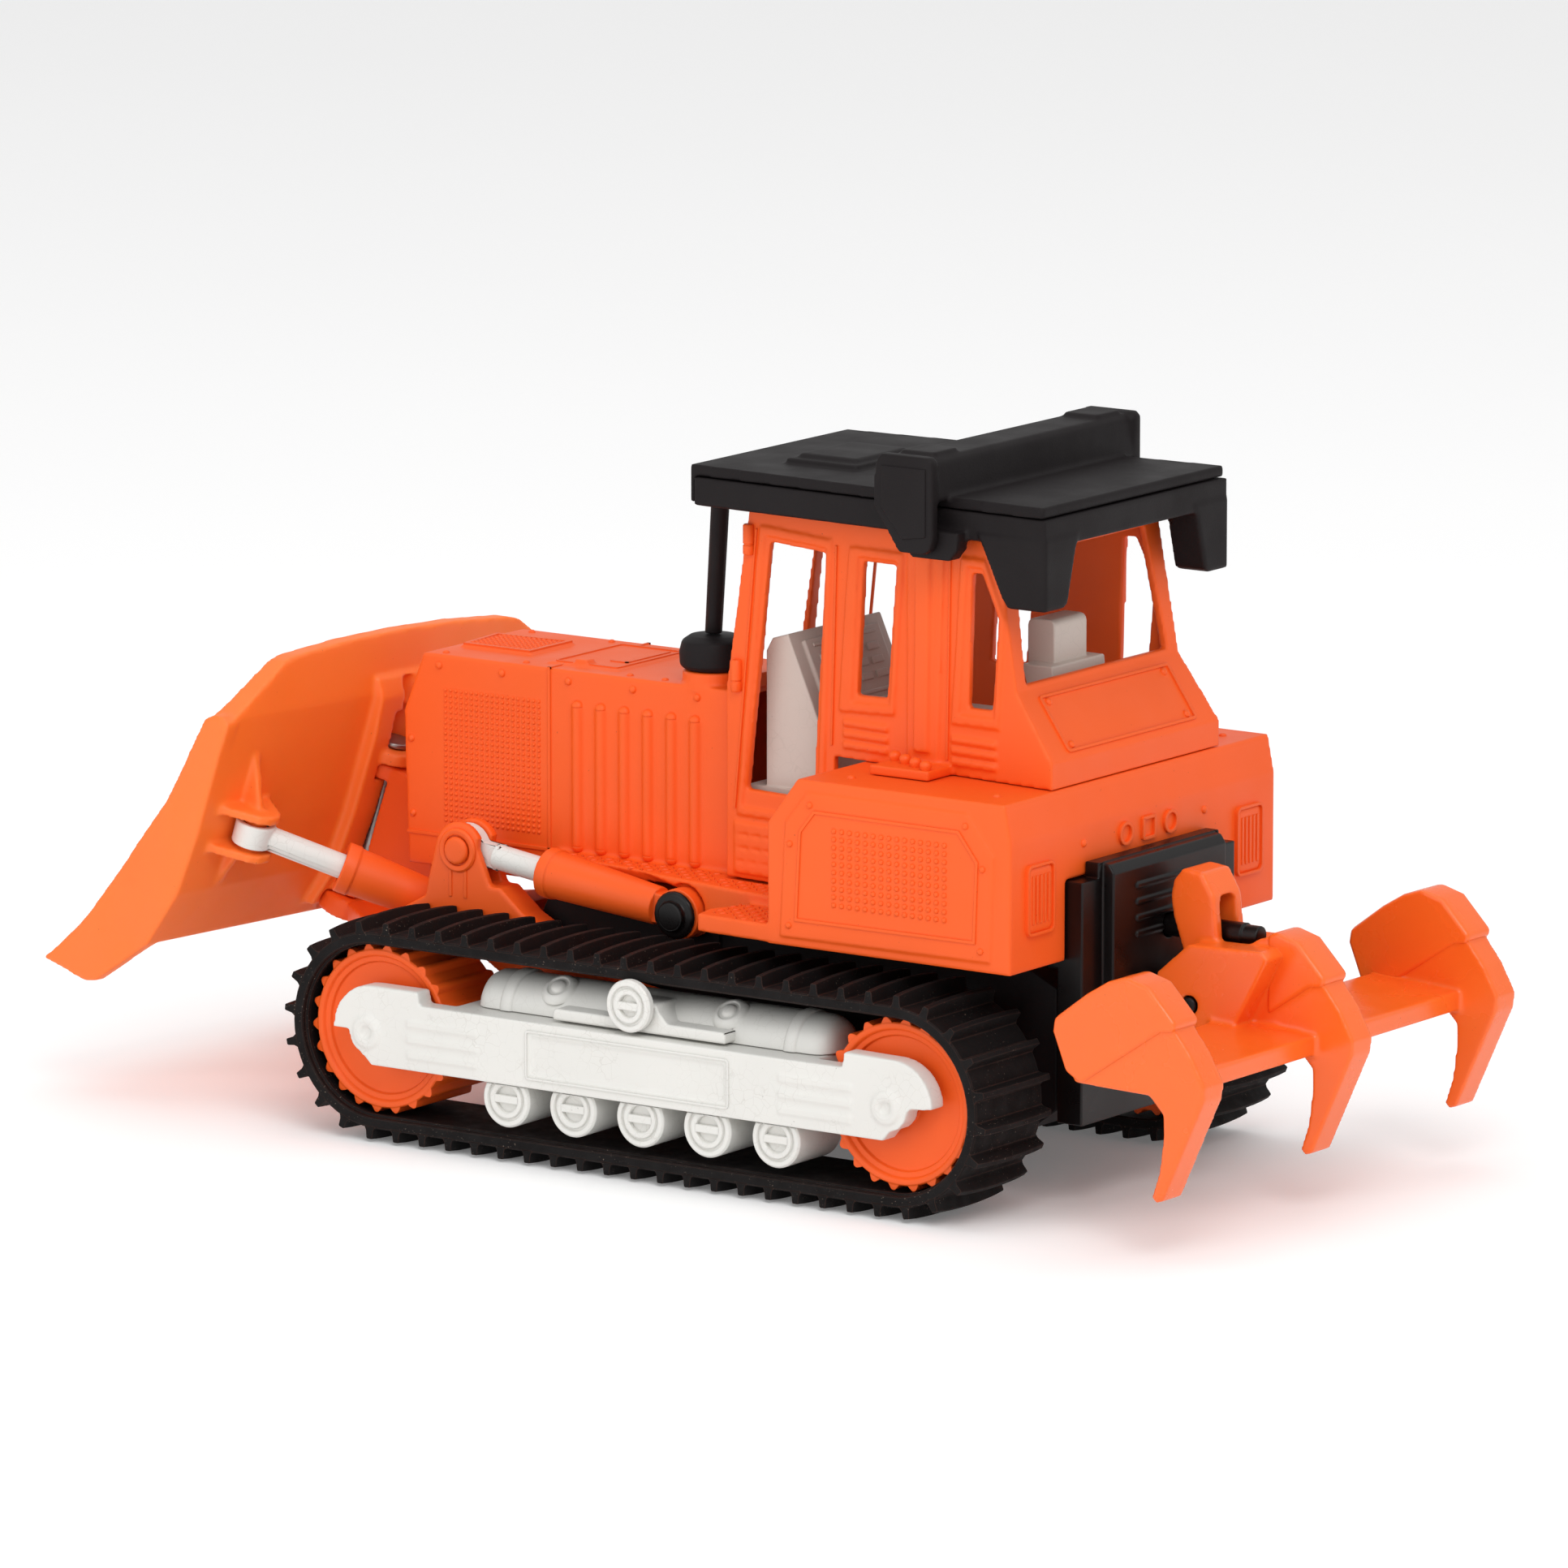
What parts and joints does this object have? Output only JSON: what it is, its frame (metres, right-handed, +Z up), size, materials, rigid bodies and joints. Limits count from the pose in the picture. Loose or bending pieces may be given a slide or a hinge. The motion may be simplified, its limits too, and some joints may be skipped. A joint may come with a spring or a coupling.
{
  "type": "toy bulldozer",
  "caption": "Plastic toy crawler bulldozer with a raised angling blade on a lift frame, cab with a black roof, belt tracks in white side frames and a tilting rear ripper.",
  "frame": {"origin": "on the ground, on the centreline, at the middle of the overall length", "axes": "+X forward to the blade, +Y to the left side, +Z up"},
  "size_m": [0.398, 0.1618, 0.2072],
  "materials": {
    "orange_shell": "satin injection-moulded orange",
    "blade_orange": "satin yellow-orange, slightly translucent",
    "ripper_orange": "semi-gloss light orange",
    "white_plastic": "gloss white",
    "cab_grey": "satin warm grey",
    "black_matte": "fine-grained matte black",
    "black_gloss": "semi-gloss black",
    "track_rubber": "dull black-brown rubber",
    "pin_steel": "plain turned steel"
  },
  "bodies": {
    "machine": {"chassis": "black_matte", "body_shell": "orange_shell", "cab_shell": "orange_shell", "roof_plate": "black_matte", "roof_frame": "black_matte", "exhaust_cap": "black_matte", "exhaust_strut": "black_matte", "cab_console": "cab_grey", "driver_seat": "cab_grey", "rear_panel": "black_gloss", "ripper_peg": "black_gloss", "ripper_pin": "black_gloss", "c_frame_pin": "pin_steel", "belt_left": "track_rubber", "belt_right": "track_rubber", "axle_front": "pin_steel", "axle_rear": "pin_steel", "track_frame_left": "white_plastic", "track_frame_right": "white_plastic", "tank_left": "white_plastic", "tank_right": "white_plastic", "carrier_roller_left": "white_plastic", "carrier_roller_right": "white_plastic", "roller_1_left": "white_plastic", "roller_1_right": "white_plastic", "roller_2_left": "white_plastic", "roller_2_right": "white_plastic", "roller_3_left": "white_plastic", "roller_3_right": "white_plastic", "roller_4_left": "white_plastic", "roller_4_right": "white_plastic", "roller_5_left": "white_plastic", "roller_5_right": "white_plastic", "lift_pin_left": "black_gloss", "lift_pin_right": "black_gloss", "belly_screw_1": "pin_steel", "belly_screw_2": "pin_steel", "belly_screw_3": "pin_steel", "belly_screw_4": "pin_steel"},
    "wheel_front_left": {"wheel_front_left": "orange_shell"},
    "wheel_front_right": {"wheel_front_right": "orange_shell"},
    "wheel_rear_left": {"wheel_rear_left": "orange_shell"},
    "wheel_rear_right": {"wheel_rear_right": "orange_shell"},
    "c_frame": {"c_frame": "orange_shell", "swivel_pin": "pin_steel", "ear_pin_left": "orange_shell", "ear_pin_right": "orange_shell"},
    "blade": {"blade": "blade_orange"},
    "lift_barrel_left": {"lift_barrel_left": "orange_shell"},
    "lift_rod_left": {"lift_rod_left": "white_plastic"},
    "angle_barrel_left": {"angle_barrel_left": "orange_shell"},
    "angle_rod_left": {"angle_rod_left": "white_plastic"},
    "lift_barrel_right": {"lift_barrel_right": "orange_shell"},
    "lift_rod_right": {"lift_rod_right": "white_plastic"},
    "angle_barrel_right": {"angle_barrel_right": "orange_shell"},
    "angle_rod_right": {"angle_rod_right": "white_plastic"},
    "ripper": {"ripper": "ripper_orange"}
  },
  "joints": [
    {"name": "lift", "type": "hinge", "parent": "machine", "child": "c_frame", "pos_m": [-0.00431, 0, 0.036], "axis": [0, -1, 0], "range_deg": [-5, 4]},
    {"name": "blade_swivel", "type": "hinge", "parent": "c_frame", "child": "blade", "pos_m": [0.14369, 0, 0.05], "axis": [-0.2924, 0, 0.9563], "range_deg": [-3, 8]},
    {"name": "lift_barrel_left_pivot", "type": "hinge", "parent": "machine", "child": "lift_barrel_left", "pos_m": [-0.00021, 0.04, 0.0687], "axis": [0, -1, 0], "range_deg": [-9, 6]},
    {"name": "lift_rod_left_pivot", "type": "hinge", "parent": "c_frame", "child": "lift_rod_left", "pos_m": [0.07409, 0.04, 0.079], "axis": [0, -1, 0], "range_deg": [-1, 1]},
    {"name": "lift_barrel_right_pivot", "type": "hinge", "parent": "machine", "child": "lift_barrel_right", "pos_m": [-0.00021, -0.04, 0.0687], "axis": [0, -1, 0], "range_deg": [-9, 6]},
    {"name": "lift_rod_right_pivot", "type": "hinge", "parent": "c_frame", "child": "lift_rod_right", "pos_m": [0.07409, -0.04, 0.079], "axis": [0, -1, 0], "range_deg": [-1, 1]},
    {"name": "angle_barrel_left_pivot", "type": "hinge", "parent": "c_frame", "child": "angle_barrel_left", "pos_m": [0.08969, 0.0261, 0.0572], "axis": [-0.2828, -0.2462, 0.9271], "range_deg": [-6, 8]},
    {"name": "angle_rod_left_pivot", "type": "hinge", "parent": "blade", "child": "angle_rod_left", "pos_m": [0.1344, 0.06012, 0.07987], "axis": [-0.2786, 0.311, 0.9087], "range_deg": [-6, 5]},
    {"name": "angle_barrel_right_pivot", "type": "hinge", "parent": "c_frame", "child": "angle_barrel_right", "pos_m": [0.08969, -0.0261, 0.0572], "axis": [-0.2446, 0.291, 0.9249], "range_deg": [-6, 8]},
    {"name": "angle_rod_right_pivot", "type": "hinge", "parent": "blade", "child": "angle_rod_right", "pos_m": [0.12739, -0.05965, 0.07773], "axis": [-0.3156, -0.3628, 0.8768], "range_deg": [-6, 5]},
    {"name": "ripper_tilt", "type": "hinge", "parent": "machine", "child": "ripper", "pos_m": [-0.15131, 0, 0.056], "axis": [0, 1, 0], "range_deg": [-16, 6]},
    {"name": "wheel_rear_left_spin", "type": "hinge", "parent": "machine", "child": "wheel_rear_left", "pos_m": [-0.09631, 0.061, 0.032], "axis": [0, 1, 0], "continuous": true},
    {"name": "wheel_front_left_spin", "type": "hinge", "parent": "machine", "child": "wheel_front_left", "pos_m": [0.07969, 0.061, 0.032], "axis": [0, 1, 0], "continuous": true},
    {"name": "wheel_rear_right_spin", "type": "hinge", "parent": "machine", "child": "wheel_rear_right", "pos_m": [-0.09631, -0.061, 0.032], "axis": [0, 1, 0], "continuous": true},
    {"name": "wheel_front_right_spin", "type": "hinge", "parent": "machine", "child": "wheel_front_right", "pos_m": [0.07969, -0.061, 0.032], "axis": [0, 1, 0], "continuous": true}
  ],
  "couplings": [
    {"joint": "lift_barrel_left_pivot", "follows": "lift", "ratio": 1.1},
    {"joint": "lift_rod_left_pivot", "follows": "lift", "ratio": 0.1},
    {"joint": "lift_barrel_right_pivot", "follows": "lift", "ratio": 1.1},
    {"joint": "lift_rod_right_pivot", "follows": "lift", "ratio": 0.1},
    {"joint": "angle_barrel_left_pivot", "follows": "blade_swivel", "ratio": 0.581},
    {"joint": "angle_rod_left_pivot", "follows": "blade_swivel", "ratio": -0.46},
    {"joint": "angle_barrel_right_pivot", "follows": "blade_swivel", "ratio": 0.587},
    {"joint": "angle_rod_right_pivot", "follows": "blade_swivel", "ratio": -0.471},
    {"joint": "wheel_front_left_spin", "follows": "wheel_rear_left_spin", "ratio": 1},
    {"joint": "wheel_front_right_spin", "follows": "wheel_rear_right_spin", "ratio": 1}
  ]
}
